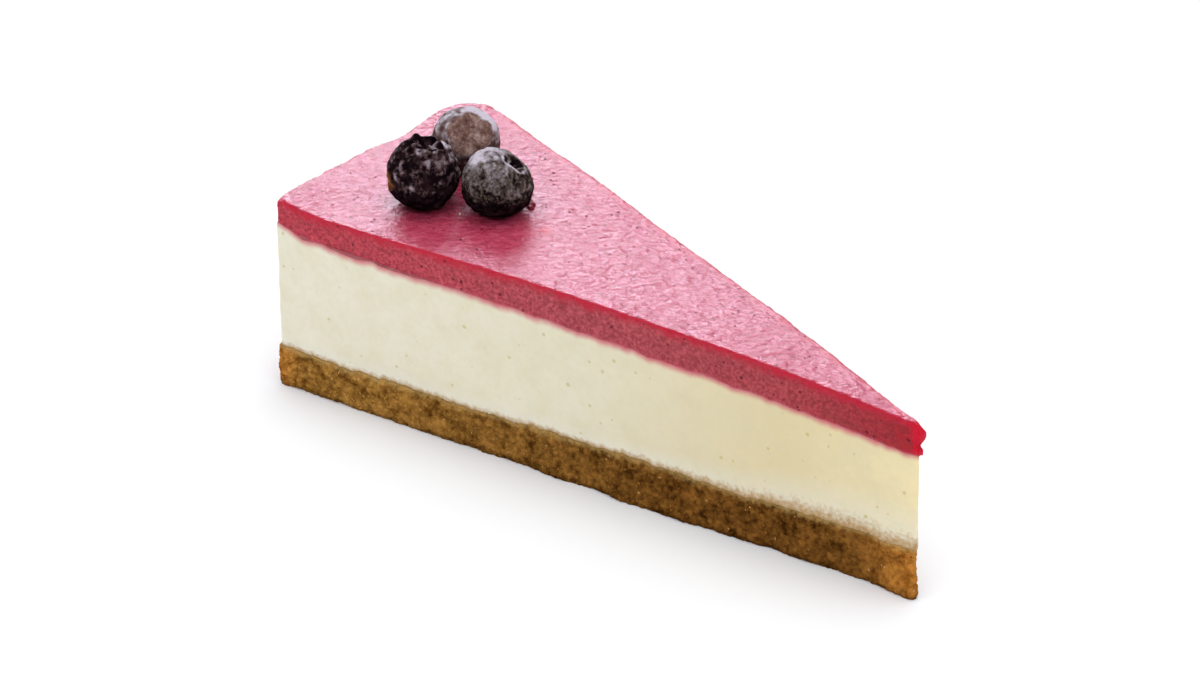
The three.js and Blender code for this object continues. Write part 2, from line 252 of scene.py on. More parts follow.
def layer_sides(rim, tip, near_corner, far_along_cut, far_along_rim):
    """Sides of a layer seen from above, each a length and the point at a share of it."""
    near_turn = near_corner / rim
    far_turn = far_along_rim / rim
    near_start = polar_point(rim - near_corner, -HALF_ANGLE)
    far_end = polar_point(rim - far_along_cut, HALF_ANGLE)
    tip_near = polar_point(tip, -HALF_ANGLE)
    tip_far = polar_point(tip, HALF_ANGLE)
    arc_from = HALF_ANGLE - far_turn
    arc_to = near_turn - HALF_ANGLE
    arc_start = polar_point(rim, arc_from)
    arc_end = polar_point(rim, arc_to)
    return [
        straight(near_start, tip_near),
        straight(tip_near, tip_far),
        straight(tip_far, far_end),
        curved(far_end, polar_point(rim, HALF_ANGLE), arc_start),
        (rim * (arc_from - arc_to), lambda share: polar_point(rim, lerp(arc_from, arc_to, share))),
        curved(arc_end, polar_point(rim, -HALF_ANGLE), near_start),
    ]


def outline_length(sides):
    return sum(length for length, _ in sides)


def point_on(sides, share):
    """The point that lies a share of the way round the outline."""
    distance = (share % 1) * outline_length(sides)
    for length, point in sides:
        if distance <= length:
            return point(distance / length)
        distance -= length
    return sides[-1][1](1)


BASE_SIDES = layer_sides(rim=141.5, tip=1.3, near_corner=0.9, far_along_cut=7, far_along_rim=3.5)
CREAM_SIDES = layer_sides(rim=140.9, tip=1.1, near_corner=0.9, far_along_cut=7, far_along_rim=3.5)


# Making meshes

# Values that the meshes carry for their materials. Those with under and over in their names are
# distances in millimetres from a line between layers, as is creamy, the distance below the filling;
# the others are shares or tones.
CRUMB_VALUES = ["grain_tone", "crevice_shade", "baked", "creamy"]
CREAM_VALUES = ["under_mousse", "over_crumb"]
MOUSSE_VALUES = ["under_skin", "over_cream", "juice_and_shade", "glaze_and_edge_shade"]
SKIN_VALUES = ["frost_and_painted_light", "crown_flesh", "blush", "rosy"]


def raised_ring(shape, loop, lift):
    """Extrudes a closed loop of edges along Z by the lift and gives back the new loop."""
    made = bmesh.ops.extrude_edge_only(shape, edges=loop)["geom"]
    ring = [item for item in made if isinstance(item, bmesh.types.BMVert)]
    bmesh.ops.translate(shape, vec=(0, 0, lift), verts=ring)
    ring = set(ring)
    edges = [item for item in made if isinstance(item, bmesh.types.BMEdge)]
    return [edge for edge in edges if edge.verts[0] in ring and edge.verts[1] in ring]


def capped(shape, loop):
    """Closes a loop with one face that meets the wall at a sharp edge."""
    bmesh.ops.edgeloop_fill(shape, edges=loop)
    for edge in loop:
        edge.smooth = False


def wall_block(columns, rings, ledge=0):
    """A closed drum one unit tall, with rings for a ledge above that, to be shaped into a layer."""
    shape = bmesh.new()
    bmesh.ops.create_circle(shape, segments=columns, radius=1)
    loop = shape.edges[:]
    foot = loop
    for _ in range(rings + ledge):
        loop = raised_ring(shape, loop, 1 / rings)
    capped(shape, foot)
    capped(shape, loop)
    return shape


def share_round(vertex):
    """Which share of the way round the outline a vertex of the drum stands for."""
    return math.atan2(vertex.co.y, vertex.co.x) / (2 * math.pi)


def attribute_layers(shape, names):
    return {name: shape.verts.layers.float.new(name) for name in names}


def finished(name, shape, material, replaces=None):
    """Turns a shape in millimetres into a finished piece that rides on the slice."""
    bmesh.ops.recalc_face_normals(shape, faces=shape.faces)
    bmesh.ops.scale(shape, vec=(MM, MM, MM), verts=shape.verts)
    for face in shape.faces:
        face.smooth = True
    mesh = bpy.data.meshes.new(name)
    shape.to_mesh(mesh)
    shape.free()
    mesh.materials.append(material)
    piece = bpy.data.objects.new(name, mesh)
    bpy.context.scene.collection.objects.link(piece)
    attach(piece, "root")
    if replaces:
        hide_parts(replaces)
    return piece


# Making materials

FACTOR, FIRST, SECOND, RESULT = 0, 6, 7, 2  # sockets of a colour Mix node

# Colours are laid on in coats of (value, start, end, strength at the start, strength at the end,
# blend, tint): the strength of a coat changes over that stretch of its value.

# The fine ripples of the mousse run this way, in radians from +X, and are drawn out along it. They
# are a little coarser than the real ones, which would be too fine to show.
RIPPLE_TURN = 0.76
RIPPLE_STRETCH = (1.8, 0.9, 1)


def linear(hex_text):
    """Linear colour of an sRGB hex value."""
    parts = [int(hex_text[start:start + 2], 16) / 255 for start in (1, 3, 5)]
    return [part / 12.92 if part <= 0.04045 else ((part + 0.055) / 1.055) ** 2.4 for part in parts] + [1]


def add(tree, kind, inputs=None, stops=None, **settings):
    """Adds a node with its settings; each input gets a value or a link from an output."""
    made = tree.nodes.new(kind)
    for field, value in settings.items():
        setattr(made, field, value)
    for socket, value in (inputs or {}).items():
        if isinstance(value, bpy.types.NodeSocket):
            tree.links.new(value, made.inputs[socket])
        else:
            made.inputs[socket].default_value = value
    for index, (position, hex_text) in enumerate(stops or []):
        marks = made.color_ramp.elements
        mark = marks[index] if index < 2 else marks.new(position)
        mark.position = position
        mark.color = linear(hex_text)
    return made


def per_mm(pitch):
    """Texture scale that repeats a pattern once every so many millimetres."""
    return 1 / (pitch * MM)


def new_material(name):
    material = bpy.data.materials.new(name)
    material.use_nodes = True
    material.node_tree.nodes.clear()
    return material, material.node_tree


def biscuit_crumb():
    """Digestive biscuit crushed and pressed with butter: dull and grainy, more golden at the ends."""
    material, tree = new_material("pressed_biscuit_crumb")
    place = add(tree, "ShaderNodeTexCoord").outputs["Object"]
    along = add(tree, "ShaderNodeSeparateXYZ", {"Vector": place}).outputs["X"]
    tone, crevice_shade, baked, creamy = (
        add(tree, "ShaderNodeAttribute", attribute_name=name).outputs["Fac"] for name in CRUMB_VALUES
    )
    towards_tip = add(tree, "ShaderNodeMapRange", {
        "Value": along, "From Min": -60 * MM, "From Max": 20 * MM,
    }).outputs["Result"]
    bits = []
    for at_rim, at_tip, golden in [("#6E4618", "#3C2208", "#7C3E0C"), ("#C49148", "#90602A", "#D68F3E")]:
        plain = add(tree, "ShaderNodeMix", {
            FACTOR: towards_tip, FIRST: linear(at_rim), SECOND: linear(at_tip),
        }, data_type="RGBA").outputs[RESULT]
        bits.append(add(tree, "ShaderNodeMix", {
            FACTOR: baked, FIRST: plain, SECOND: linear(golden),
        }, data_type="RGBA").outputs[RESULT])
    dark_bits, pale_bits = bits

    clumps = add(tree, "ShaderNodeTexNoise", {
        "Vector": place, "Scale": per_mm(3.6), "Detail": 2,
    }).outputs["Fac"]
    meal = add(tree, "ShaderNodeTexNoise", {
        "Vector": place, "Scale": per_mm(1.2), "Detail": 5, "Roughness": 0.68,
    }).outputs["Fac"]
    toned = add(tree, "ShaderNodeMath", {0: tone, 1: 0.45, 2: meal}, operation="MULTIPLY_ADD").outputs[0]
    mixed = add(tree, "ShaderNodeMath", {0: clumps, 1: 0.9, 2: toned}, operation="MULTIPLY_ADD").outputs[0]
    ragged = add(tree, "ShaderNodeMath", {0: meal, 1: -2.4, 2: creamy}, operation="MULTIPLY_ADD").outputs[0]

    colour = dark_bits
    for value, start, end, at_start, at_end, blend, tint in [
        (mixed, 0.92, 1.46, 0.0, 1.0, "LINEAR", pale_bits),  # pale bits among dark ones
        (tone, 1.3, FLOURY_TONE, 0.0, 0.6, "LINEAR", linear("#C8A070")),  # floury grains
        (crevice_shade, 0.0, 1.0, 0.0, 1.0, "LINEAR", linear("#2E1804")),  # painted shade in crevices, pits and hollows, and darker along the foot
        (ragged, -1.9, 0.3, 0.8, 0.0, "SMOOTHSTEP", linear("#B99A60")),  # filling soaked in
    ]:
        share = add(tree, "ShaderNodeMapRange", {
            "Value": value, "From Min": start, "From Max": end, "To Min": at_start, "To Max": at_end,
        }, interpolation_type=blend).outputs["Result"]
        colour = add(tree, "ShaderNodeMix", {
            FACTOR: share, FIRST: colour, SECOND: tint,
        }, data_type="RGBA").outputs[RESULT]
    rough = add(tree, "ShaderNodeBump", {"Strength": 0.9, "Distance": 0.5 * MM, "Height": meal})
    shader = add(tree, "ShaderNodeBsdfPrincipled", {
        "Base Color": colour, "Roughness": 0.85, "IOR": 1.45, "Specular IOR Level": 0.0,
        "Normal": rough.outputs["Normal"],
    })
    add(tree, "ShaderNodeOutputMaterial", {"Surface": shader.outputs["BSDF"]})
    return material


def cheese_filling():
    """Set cream cheese, cut with a wet knife: smooth, moist and a little see-through."""
    material, tree = new_material("set_cream_cheese")
    place = add(tree, "ShaderNodeTexCoord").outputs["Object"]
    along = add(tree, "ShaderNodeSeparateXYZ", {"Vector": place}).outputs["X"]
    under, over = (
        add(tree, "ShaderNodeAttribute", attribute_name=name).outputs["Fac"] for name in CREAM_VALUES
    )
    towards_tip = add(tree, "ShaderNodeMapRange", {
        "Value": along, "From Min": -70 * MM, "From Max": 70 * MM,
    }).outputs["Result"]
    body = add(tree, "ShaderNodeValToRGB", {"Fac": towards_tip}, stops=[
        (0.05, "#E2DECB"), (1.0, "#E8DAAE"), (0.5, "#DED8C1"), (0.8, "#DACBA1"),
    ]).outputs["Color"]

    # Sizes in millimetres of soft clouds, curd, crumbs, seeping stain and knife drag, with their detail
    cloud, curd, crumbs, seep, drag = (
        add(tree, "ShaderNodeTexNoise", {
            "Vector": place, "Scale": per_mm(pitch), "Detail": detail, "Roughness": roughness,
        }).outputs["Fac"]
        for pitch, detail, roughness in [
            (7, 5, 0.6), (1.6, 4, 0.65), (0.8, 3, 0.5), (2.4, 3, 0.5), (1.1, 4, 0.5),
        ]
    )
    specks = add(tree, "ShaderNodeTexVoronoi", {"Vector": place, "Scale": per_mm(2.5)})
    chosen = add(tree, "ShaderNodeSeparateColor", {"Color": specks.outputs["Color"]}).outputs["Red"]
    size = add(tree, "ShaderNodeMapRange", {
        "Value": chosen, "From Min": 0.3, "From Max": 1.0, "To Min": 0.0, "To Max": 0.22,
    }).outputs["Result"]
    speck = add(tree, "ShaderNodeMath", {
        0: size, 1: specks.outputs["Distance"],
    }, operation="SUBTRACT").outputs[0]
    ragged = add(tree, "ShaderNodeMath", {0: crumbs, 1: -2.4, 2: over}, operation="MULTIPLY_ADD").outputs[0]
    seeped = add(tree, "ShaderNodeMath", {0: under, 1: seep}, operation="SUBTRACT").outputs[0]

    colour = body
    for value, start, end, at_start, at_end, blend, tint in [
        (cloud, 0.4, 0.7, 0.0, 0.45, "LINEAR", "#D3CAA8"),  # mottling
        (over, 0.5, 5, 0.6, 0.0, "LINEAR", "#DEDDD3"),  # whiter low down
        (curd, 0.45, 0.75, 0.0, 0.25, "LINEAR", "#CFC5A0"),  # curd
        (speck, 0.0, 0.09, 0.0, 0.5, "LINEAR", "#B2A64C"),  # specks
        (ragged, -1.4, 0.75, 0.9, 0.0, "SMOOTHSTEP", "#A67C3C"),  # crumb dragged up
        (seeped, -0.7, 1.2, 1.0, 0.0, "SMOOTHSTEP", "#C8606C"),  # stain of the mousse
    ]:
        share = add(tree, "ShaderNodeMapRange", {
            "Value": value, "From Min": start, "From Max": end, "To Min": at_start, "To Max": at_end,
        }, interpolation_type=blend).outputs["Result"]
        colour = add(tree, "ShaderNodeMix", {
            FACTOR: share, FIRST: colour, SECOND: linear(tint),
        }, data_type="RGBA").outputs[RESULT]
    dragged = add(tree, "ShaderNodeBump", {"Strength": 0.4, "Distance": 0.15 * MM, "Height": drag})
    shader = add(tree, "ShaderNodeBsdfPrincipled", {
        "Base Color": colour, "Roughness": 0.5, "IOR": 1.36,
        "Subsurface Weight": 0.25, "Subsurface Radius": (1.0, 0.7, 0.4), "Subsurface Scale": 1.2 * MM,
        "Normal": dragged.outputs["Normal"],
    })
    add(tree, "ShaderNodeOutputMaterial", {"Surface": shader.outputs["BSDF"]})
    return material


def fruit_mousse():
    """Whipped fruit mousse under a thin set glaze: fine bubbles, dark seed specks, a moist sheen."""
    material, tree = new_material("whipped_fruit_mousse")
    place = add(tree, "ShaderNodeTexCoord").outputs["Object"]
    along = add(tree, "ShaderNodeSeparateXYZ", {"Vector": place}).outputs["X"]
    skin, over, juice_and_shade, glaze_and_edge_shade = (
        add(tree, "ShaderNodeAttribute", attribute_name=name).outputs["Fac"] for name in MOUSSE_VALUES
    )
    towards_tip = add(tree, "ShaderNodeMapRange", {
        "Value": along, "From Min": -70 * MM, "From Max": 70 * MM,
    }).outputs["Result"]
    body = add(tree, "ShaderNodeValToRGB", {"Fac": towards_tip}, stops=[
        (0.0, "#CE4252"), (1.0, "#AA1A24"), (0.5, "#C25660"), (0.8, "#BC4C54"),
    ]).outputs["Color"]
    cloud = add(tree, "ShaderNodeTexNoise", {
        "Vector": place, "Scale": per_mm(0.7), "Detail": 4, "Roughness": 0.65,
    }).outputs["Fac"]
    uneven = add(tree, "ShaderNodeTexNoise", {
        "Vector": place, "Scale": per_mm(2.6), "Detail": 4,
    }).outputs["Fac"]
    depth = add(tree, "ShaderNodeMath", {0: uneven, 1: -3.6, 2: skin}, operation="MULTIPLY_ADD").outputs[0]
    top = add(tree, "ShaderNodeMapRange", {
        "Value": skin, "From Min": 0.0, "From Max": 0.25, "To Min": 1.0, "To Max": 0.0,
    }).outputs["Result"]

    # Froth of the top, drawn out along the ripples
    drawn = add(tree, "ShaderNodeMapping", {
        "Vector": place, "Rotation": (0, 0, RIPPLE_TURN), "Scale": RIPPLE_STRETCH,
    }, vector_type="TEXTURE").outputs["Vector"]
    froth = add(tree, "ShaderNodeTexNoise", {
        "Vector": drawn, "Scale": per_mm(1.0), "Detail": 5, "Roughness": 0.65,
    })
    frothy = add(tree, "ShaderNodeValToRGB", {"Fac": froth.outputs["Fac"]}, stops=[
        (0.38, "#A62A46"), (0.62, "#C24C68"),
    ]).outputs["Color"]

    # Dark seed specks in the whole mousse
    seeds = add(tree, "ShaderNodeTexVoronoi", {"Vector": place, "Scale": per_mm(1.7)})
    chosen = add(tree, "ShaderNodeSeparateColor", {"Color": seeds.outputs["Color"]}).outputs["Red"]
    size = add(tree, "ShaderNodeMapRange", {
        "Value": chosen, "From Min": 0.15, "From Max": 1.0, "To Min": 0.0, "To Max": 0.25,
    }).outputs["Result"]
    seed = add(tree, "ShaderNodeMath", {
        0: size, 1: seeds.outputs["Distance"],
    }, operation="SUBTRACT").outputs[0]

    # Burst bubbles of the top: small uneven pits, dented in, dull inside and painted darker as shade
    bent = add(tree, "ShaderNodeVectorMath", {
        0: froth.outputs["Color"], 1: (1.4 * MM, 1.4 * MM, 1.4 * MM), 2: place,
    }, operation="MULTIPLY_ADD").outputs[0]
    bubbles = add(tree, "ShaderNodeTexVoronoi", {"Vector": bent, "Scale": per_mm(1.6)})
    burst = add(tree, "ShaderNodeSeparateColor", {"Color": bubbles.outputs["Color"]}).outputs["Red"]
    width = add(tree, "ShaderNodeMapRange", {
        "Value": burst, "From Min": 0.2, "From Max": 1.0, "To Min": 0.04, "To Max": 0.22,
    }).outputs["Result"]
    hollow = add(tree, "ShaderNodeMath", {
        0: width, 1: bubbles.outputs["Distance"],
    }, operation="SUBTRACT").outputs[0]
    pit = add(tree, "ShaderNodeMapRange", {
        "Value": hollow, "From Min": 0.0, "From Max": 0.06,
    }).outputs["Result"]
    dent = add(tree, "ShaderNodeMath", {0: hollow, 1: 0.0}, operation="MAXIMUM").outputs[0]
    shaded_pit_on_top = add(tree, "ShaderNodeMath", {0: pit, 1: top}, operation="MULTIPLY").outputs[0]
    dent_on_top = add(tree, "ShaderNodeMath", {0: dent, 1: top}, operation="MULTIPLY").outputs[0]

    colour = body
    for value, start, end, at_start, at_end, blend, tint in [
        (cloud, 0.38, 0.66, 0.0, 0.85, "LINEAR", linear("#7E1C2A")),  # mottling
        (uneven, 0.5, 0.72, 0.0, 0.5, "LINEAR", linear("#8A3238")),  # browner parts
        (depth, -1.7, 0.7, 0.95, 0.0, "SMOOTHSTEP", linear("#BE1A36")),  # glaze along the upper edge
        (top, 0.0, 1.0, 0.0, 1.0, "LINEAR", frothy),  # froth of the top
        (glaze_and_edge_shade, 0.0, 1.0, 0.0, 1.0, "LINEAR", linear("#CC122E")),  # red glaze of the smear and the drip, and painted shade along the far cut
        (over, 0.0, 0.45, 0.6, 0.0, "SMOOTHSTEP", linear("#CC6272")),  # pink foot
        (seed, 0.0, 0.06, 0.0, 0.75, "LINEAR", linear("#5A0C1E")),  # seeds
        (shaded_pit_on_top, 0.0, 1.0, 0.0, 1.0, "LINEAR", linear("#86142E")),  # painted shade in the pits
        (juice_and_shade, 0.0, 1.0, 0.0, 1.0, "LINEAR", linear("#480A1A")),  # berry juice, and painted contact shade round the berries' feet
    ]:
        share = add(tree, "ShaderNodeMapRange", {
            "Value": value, "From Min": start, "From Max": end, "To Min": at_start, "To Max": at_end,
        }, interpolation_type=blend).outputs["Result"]
        colour = add(tree, "ShaderNodeMix", {
            FACTOR: share, FIRST: colour, SECOND: tint,
        }, data_type="RGBA").outputs[RESULT]

    # Relief: flat-topped ripples with narrow valleys, and on them the froth and the dents
    crinkles = add(tree, "ShaderNodeTexNoise", {
        "Vector": drawn, "Scale": per_mm(0.75), "Detail": 3, "Roughness": 0.6,
    }).outputs["Fac"]
    valleys = add(tree, "ShaderNodeMath", {0: crinkles, 1: 0.52}, operation="MINIMUM").outputs[0]
    rippled = add(tree, "ShaderNodeBump", {
        "Strength": 1.0, "Distance": 0.58 * MM, "Height": valleys,
    }).outputs["Normal"]
    height = add(tree, "ShaderNodeMath", {
        0: dent_on_top, 1: -5.0, 2: froth.outputs["Fac"],
    }, operation="MULTIPLY_ADD").outputs[0]
    bubbly = add(tree, "ShaderNodeBump", {
        "Strength": 1.0, "Distance": 0.4 * MM, "Height": height, "Normal": rippled,
    })

    # Roughness: a moist sheen, duller where juice or glaze has soaked in and dull in the pits
    moist = add(tree, "ShaderNodeMapRange", {
        "Value": cloud, "From Min": 0.35, "From Max": 0.7, "To Min": 0.17, "To Max": 0.3,
    }).outputs["Result"]
    wet = add(tree, "ShaderNodeMath", {0: juice_and_shade, 1: glaze_and_edge_shade}, operation="MAXIMUM").outputs[0]
    duller = add(tree, "ShaderNodeMath", {0: wet, 1: 0.4, 2: moist}, operation="MULTIPLY_ADD").outputs[0]
    dull = add(tree, "ShaderNodeMath", {
        0: shaded_pit_on_top, 1: 0.8, 2: duller,
    }, operation="MULTIPLY_ADD", use_clamp=True).outputs[0]
    shader = add(tree, "ShaderNodeBsdfPrincipled", {
        "Base Color": colour, "Roughness": dull, "IOR": 1.45, "Specular IOR Level": 0.15,
        "Subsurface Weight": 0.1, "Subsurface Radius": (1.0, 0.3, 0.3), "Subsurface Scale": 0.5 * MM,
        "Normal": bubbly.outputs["Normal"],
    })
    add(tree, "ShaderNodeOutputMaterial", {"Surface": shader.outputs["BSDF"]})
    return material


def berry_skin():
    """Thawed blueberry: near-black shrunken skin with rubbed grey frost, brown on the crown face. The frost
    is partly painted light: a paler top, a darker foot and white painted highlights on the upper edge and
    the crown's lip.
    """
    material, tree = new_material("frosted_blueberry_skin")
    place = add(tree, "ShaderNodeTexCoord").outputs["Object"]
    frost_and_painted_light, flesh, blush, rosy = (
        add(tree, "ShaderNodeAttribute", attribute_name=name).outputs["Fac"] for name in SKIN_VALUES
    )
    cloud = add(tree, "ShaderNodeTexNoise", {"Vector": place, "Scale": per_mm(1.7), "Detail": 5})
    skin = add(tree, "ShaderNodeValToRGB", {"Fac": cloud.outputs["Fac"]}, stops=[
        (0.35, "#090409"), (0.72, "#382629"), (0.52, "#1A0F14"),
    ]).outputs["Color"]
    fine = add(tree, "ShaderNodeTexNoise", {
        "Vector": place, "Scale": per_mm(0.65), "Detail": 5, "Roughness": 0.75,
    })
    dappled = add(tree, "ShaderNodeMix", {
        FACTOR: 0.5, FIRST: fine.outputs["Color"], SECOND: cloud.outputs["Color"],
    }, data_type="RGBA").outputs[RESULT]
    rind = add(tree, "ShaderNodeValToRGB", {"Fac": dappled}, stops=[
        (0.36, "#301C18"), (0.64, "#D0BAB4"), (0.5, "#8A6860"),
    ]).outputs["Color"]

    patchy = add(tree, "ShaderNodeMath", {
        0: fine.outputs["Fac"], 1: 3.4, 2: frost_and_painted_light,
    }, operation="MULTIPLY_ADD").outputs[0]
    frosted = add(tree, "ShaderNodeMapRange", {
        "Value": patchy, "From Min": 1.65, "From Max": 2.95, "To Max": 0.95,
    }).outputs["Result"]
    thick = add(tree, "ShaderNodeMapRange", {
        "Value": frost_and_painted_light, "From Min": 0.2, "From Max": 1.0,
    }).outputs["Result"]
    thin_frost = add(tree, "ShaderNodeMix", {
        FACTOR: rosy, FIRST: linear("#948776"), SECOND: linear("#947276"),
    }, data_type="RGBA").outputs[RESULT]
    # Thick frost, partly a painted highlight, turns near white
    rime_and_painted_highlight = add(tree, "ShaderNodeMix", {
        FACTOR: thick, FIRST: thin_frost, SECOND: linear("#E4DAEA"),
    }, data_type="RGBA").outputs[RESULT]

    colour = skin
    for share, tint in [(flesh, rind), (blush, linear("#9A5F26")), (frosted, rime_and_painted_highlight)]:
        colour = add(tree, "ShaderNodeMix", {
            FACTOR: share, FIRST: colour, SECOND: tint,
        }, data_type="RGBA").outputs[RESULT]
    puckered = add(tree, "ShaderNodeBump", {
        "Strength": 1.0, "Distance": 0.7 * MM, "Height": fine.outputs["Fac"],
    })
    shader = add(tree, "ShaderNodeBsdfPrincipled", {
        "Base Color": colour, "Roughness": 0.6, "IOR": 1.4, "Specular IOR Level": 0.0,
        "Normal": puckered.outputs["Normal"],
    })
    add(tree, "ShaderNodeOutputMaterial", {"Surface": shader.outputs["BSDF"]})
    return material


def table_top():
    """Matt white card: it gives the slice a soft shadow and nothing else."""
    material, tree = new_material("matt_white_card")
    place = add(tree, "ShaderNodeTexCoord").outputs["Object"]
    # Card fibres are far too fine to show, so their mottle is drawn 40 mm wide and very faint
    fibre = add(tree, "ShaderNodeTexNoise", {"Vector": place, "Scale": per_mm(40), "Detail": 2})
    tint = add(tree, "ShaderNodeValToRGB", {"Fac": fibre.outputs["Fac"]}, stops=[
        (0.3, "#F6F8FC"), (0.7, "#F7F9FD"),
    ])
    shader = add(tree, "ShaderNodeBsdfPrincipled", {
        "Base Color": tint.outputs["Color"], "Roughness": 0.9, "Specular IOR Level": 0.0,
    })
    add(tree, "ShaderNodeOutputMaterial", {"Surface": shader.outputs["BSDF"]})
    return material


# Biscuit base

BASE_CELL = 0.27
BASE_RINGS = 38

# The foot is rounded in but spreads a little above that, most where crumb has heaped up along one
# stretch of the near cut
FOOT_HEIGHT = 1.4
FOOT_INSET = 0.35
FOOT_SPREAD = 0.1
HEAP_AT = 84
HEAP_LENGTH = 9
HEAP_DEPTH = 0.8

# Relief of the wall: broad lumps, a sway, clumps of crumb, single crumbs, crevices and pits
LUMP_RELIEF = 0.7
LUMP_PITCH = 9
SWAY_RELIEF = 0.22
SWAY_PITCH = 3.2
CLUMP_RELIEF = 0.42
CLUMP_PITCH = 1.5
CRUMB_RELIEF = 0.3
CRUMB_PITCH = 0.8
CREVICE_DEPTH = 0.06
CREVICE_WIDTH = 0.12
PIT_DEPTH = 0.4
PIT_MARKS = [(1, 1.7), (0.35, 0.6)]
BASE_TIP_REACH = 0.7

# Crumbs side by side read the noise this many cells apart, so that their tones differ, and the
# tones are this much paler at the tip
TONE_STEP = 5.3
TIP_PALER = 0.35

# The wall blends into the filling's over the seam, and the ledge behind it steps in and falls
SEAM_HEIGHT = 1.5
LEDGE_STEPS = [0.3, 0.7, 1.3, 2.2]
LEDGE_SHARE = 0.4
LEDGE_FALL = 0.6
LEDGE_RELIEF = 0.2

# Loose grains: their number and tones, and the few of the larger ones that are floury
GRAIN_COUNT = 4200
GRAIN_TONES = (0.1, 0.3, 0.5, 0.6, 0.8, 1.0, 1.1)
FLOURY_TONE = 1.5
FLOURY_SIZE = 0.6
FLOURY_SHARE = 0.07


def seam_push(x, y):
    """How far the biscuit and the filling both stand out where they meet."""
    sway = CREAM_RELIEF * grain(x, y, biscuit_height(x, y), CREAM_PITCH)
    return sway + CREAM_TIP_REACH * near_tip(x)


def crumb_cell(x, y, z, pitch):
    """How far a point lies from the middle of its crumb, from the crevice round it, and its tone."""
    distances, middles = noise.voronoi(Vector((x, y, z)) / pitch)
    tone = 0.5 + 0.5 * noise.noise(middles[0] * TONE_STEP)
    return distances[0], distances[1] - distances[0], tone


def base_wall(share, z):
    """Point on the crumbly wall, with how much shade is painted on it and the tone of its crumb."""
    x, y = point_on(BASE_SIDES, share)
    inward, angle = slice_place(x, y)
    clump = 0.5 - crumb_cell(x, y, z, CLUMP_PITCH)[0]
    reach, gap, tone = crumb_cell(x, y, z, CRUMB_PITCH)
    rounded = CLUMP_RELIEF * clump + CRUMB_RELIEF * (0.5 - reach)
    pit = smoothstep(relief(PIT_MARKS, x, y, z), 0.5, 0.9)
    # Closeness to a crevice: it deepens the crevice and sets the shade painted into it
    crevice_shade = math.exp(-gap / CREVICE_WIDTH)
    crumbs = rounded - CREVICE_DEPTH * crevice_shade - PIT_DEPTH * pit
    crumbs += SWAY_RELIEF * grain(x, y, z, SWAY_PITCH)
    low = 1 - smoothstep(z, 0, BISCUIT_LINE[0])
    lumps = LUMP_RELIEF * grain(x, y, z / 2, LUMP_PITCH)
    heap = HEAP_DEPTH * bump(inward, HEAP_AT, HEAP_LENGTH) if y < 0 else 0
    foot = (FOOT_SPREAD + heap) * low - FOOT_INSET * max(0, 1 - z / FOOT_HEIGHT) ** 2
    push = crumbs + lumps + foot + near_rim(inward) * rim_bulge(angle) + BASE_TIP_REACH * near_tip(x)
    near_seam = clamp(1 - (biscuit_height(x, y) - z) / SEAM_HEIGHT) ** 1.5
    point = pushed_out(x, y, z, lerp(push, seam_push(x, y), near_seam))
    # Painted shade: darker in the crevices, the pits and the hollows between clumps
    hollow = smoothstep(-rounded, -0.1, 0.25)
    shade = clamp(0.15 * crevice_shade + 0.4 * pit + 0.3 * hollow)
    return point, shade, tone


def baked_share(x, z):
    """The crumb is more golden at both ends of the slice, and least along its foot."""
    ends = max(smoothstep(-x, 60, 70), 0.85 * smoothstep(x, 57, 71))
    return ends * (0.5 + 0.5 * smoothstep(z, 0, 3))


def build_base(material):
    columns = round(outline_length(BASE_SIDES) / BASE_CELL)
    shape = wall_block(columns, BASE_RINGS, len(LEDGE_STEPS))
    layers = attribute_layers(shape, CRUMB_VALUES)
    for vertex in shape.verts:
        share = share_round(vertex)
        ring = round(vertex.co.z * BASE_RINGS)
        x, y = point_on(BASE_SIDES, share)
        top = biscuit_height(x, y)
        z = top * min(1, ring / BASE_RINGS)
        vertex.co, shade, tone = base_wall(share, z)
        if ring > BASE_RINGS:
            half_width = math.hypot(APEX_X - x, y) * math.sin(HALF_ANGLE)
            inset = min(LEDGE_STEPS[ring - BASE_RINGS - 1], LEDGE_SHARE * half_width)
            vertex.co -= outward_direction(x, y).to_3d() * inset
            fall = LEDGE_FALL * (1 - near_rim(slice_place(x, y)[0]))
            sunk = LEDGE_RELIEF * grain(vertex.co.x, vertex.co.y, 4, 0.9) - fall
            vertex.co.z += sunk * smoothstep(inset, 0, 0.7)
        # Painted shade of the crevices, pits and hollows, and darker along the foot
        vertex[layers["crevice_shade"]] = clamp(shade + 0.5 * (1 - smoothstep(z, 0, 1.6)))
        vertex[layers["grain_tone"]] = tone + TIP_PALER * smoothstep(x, 42, 66)
        vertex[layers["baked"]] = baked_share(x, z)
        vertex[layers["creamy"]] = top - z
    return finished("biscuit_layer", shape, material, "biscuit_base")


